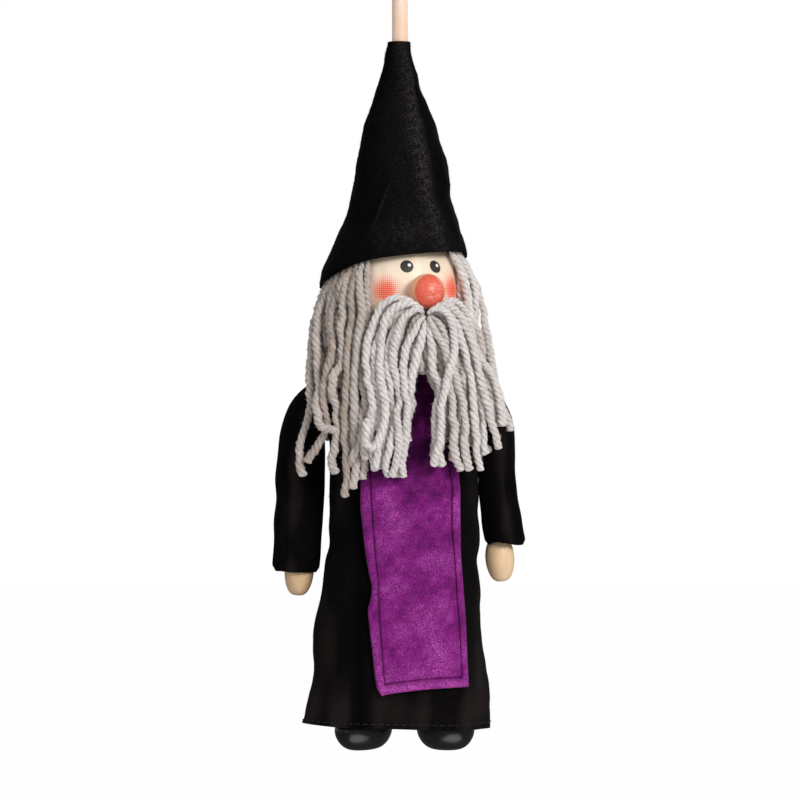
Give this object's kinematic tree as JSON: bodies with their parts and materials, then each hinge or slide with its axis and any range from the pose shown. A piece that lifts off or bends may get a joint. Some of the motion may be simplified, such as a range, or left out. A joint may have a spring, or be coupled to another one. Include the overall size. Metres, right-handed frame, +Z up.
{
  "type": "rod puppet",
  "caption": "Wooden rod puppet of a bearded wizard with a black felt hat and robe, a purple front panel and grey yarn hair, hung from a beech rod.",
  "frame": {"origin": "centre of the top end of the control rod, where the puppet is held", "axes": "+Z up along the rod, -Y towards the front of the robe, +X to the viewer's right"},
  "size_m": [0.1279, 0.0835, 0.5319],
  "materials": {
    "beech": "fine sanded, bare",
    "painted_wood": "red paint, eggshell, over bare wood",
    "black_lacquer": "gloss lacquer",
    "steel_wire": "bright zinc plated",
    "black_felt": "napped felt",
    "purple_felt": "napped felt",
    "grey_yarn": "twisted wool yarn"
  },
  "bodies": {
    "head": {"control_rod": "beech", "head": "beech", "nose": "painted_wood", "hat": "black_felt", "hair_left": "grey_yarn", "hair_right": "grey_yarn", "hair_back": "grey_yarn", "beard_left": "grey_yarn", "beard_right": "grey_yarn", "beard_knot": "grey_yarn", "head_eye": "steel_wire"},
    "neck_link_upper": {"neck_ring_upper": "steel_wire"},
    "neck_link_lower": {"neck_ring_lower": "steel_wire"},
    "torso": {"neck_eye": "steel_wire", "shoulder_board": "beech", "body": "beech", "robe": "black_felt", "front_panel": "purple_felt", "shoulder_eye_left": "steel_wire", "shoulder_eye_right": "steel_wire", "hip_eye_left": "steel_wire", "hip_eye_right": "steel_wire"},
    "shoulder_link_left": {"shoulder_ring_left": "steel_wire"},
    "arm_left": {"arm_eye_left": "steel_wire", "arm_left": "beech", "hand_left": "beech", "sleeve_left": "black_felt"},
    "hip_link_left": {"hip_ring_left": "steel_wire"},
    "leg_left": {"leg_eye_left": "steel_wire", "leg_left": "beech", "shoe_left": "black_lacquer"},
    "shoulder_link_right": {"shoulder_ring_right": "steel_wire"},
    "arm_right": {"arm_eye_right": "steel_wire", "arm_right": "beech", "hand_right": "beech", "sleeve_right": "black_felt"},
    "hip_link_right": {"hip_ring_right": "steel_wire"},
    "leg_right": {"leg_eye_right": "steel_wire", "leg_right": "beech", "shoe_right": "black_lacquer"}
  },
  "joints": [
    {"name": "neck_nod", "type": "hinge", "parent": "head", "child": "neck_link_upper", "pos_m": [0, 0, -0.34005], "axis": [0.9205, 0.3907, 0], "range_deg": [-30, 30], "deforming": ["hair_left", "hair_right", "hair_back", "beard_left", "beard_right"]},
    {"name": "neck_tilt", "type": "hinge", "parent": "neck_link_upper", "child": "neck_link_lower", "pos_m": [0, 0, -0.34285], "axis": [-0.3907, 0.9205, 0], "range_deg": [-30, 30]},
    {"name": "neck_turn", "type": "hinge", "parent": "neck_link_lower", "child": "torso", "pos_m": [0, 0, -0.34565], "axis": [0, 0, 1], "range_deg": [-15, 61]},
    {"name": "shoulder_swing_left", "type": "hinge", "parent": "torso", "child": "shoulder_link_left", "pos_m": [-0.04455, 0, -0.3563], "axis": [-1, 0, 0], "range_deg": [-60, 80]},
    {"name": "shoulder_raise_left", "type": "hinge", "parent": "shoulder_link_left", "child": "arm_left", "pos_m": [-0.04455, 0, -0.3591], "axis": [0, 1, 0], "range_deg": [0, 70], "deforming": ["sleeve_left"]},
    {"name": "shoulder_swing_right", "type": "hinge", "parent": "torso", "child": "shoulder_link_right", "pos_m": [0.04455, 0, -0.3563], "axis": [-1, 0, 0], "range_deg": [-60, 80]},
    {"name": "shoulder_raise_right", "type": "hinge", "parent": "shoulder_link_right", "child": "arm_right", "pos_m": [0.04455, 0, -0.3591], "axis": [0, -1, 0], "range_deg": [0, 70], "deforming": ["sleeve_right"]},
    {"name": "hip_swing_left", "type": "hinge", "parent": "torso", "child": "hip_link_left", "pos_m": [-0.0205, 0, -0.43655], "axis": [-1, 0, 0], "range_deg": [-6, 6]},
    {"name": "hip_splay_left", "type": "hinge", "parent": "hip_link_left", "child": "leg_left", "pos_m": [-0.0205, 0, -0.43935], "axis": [0, 1, 0], "range_deg": [-2, 2]},
    {"name": "hip_swing_right", "type": "hinge", "parent": "torso", "child": "hip_link_right", "pos_m": [0.0205, 0, -0.43655], "axis": [-1, 0, 0], "range_deg": [-6, 6]},
    {"name": "hip_splay_right", "type": "hinge", "parent": "hip_link_right", "child": "leg_right", "pos_m": [0.0205, 0, -0.43935], "axis": [0, -1, 0], "range_deg": [-2, 2]}
  ]
}
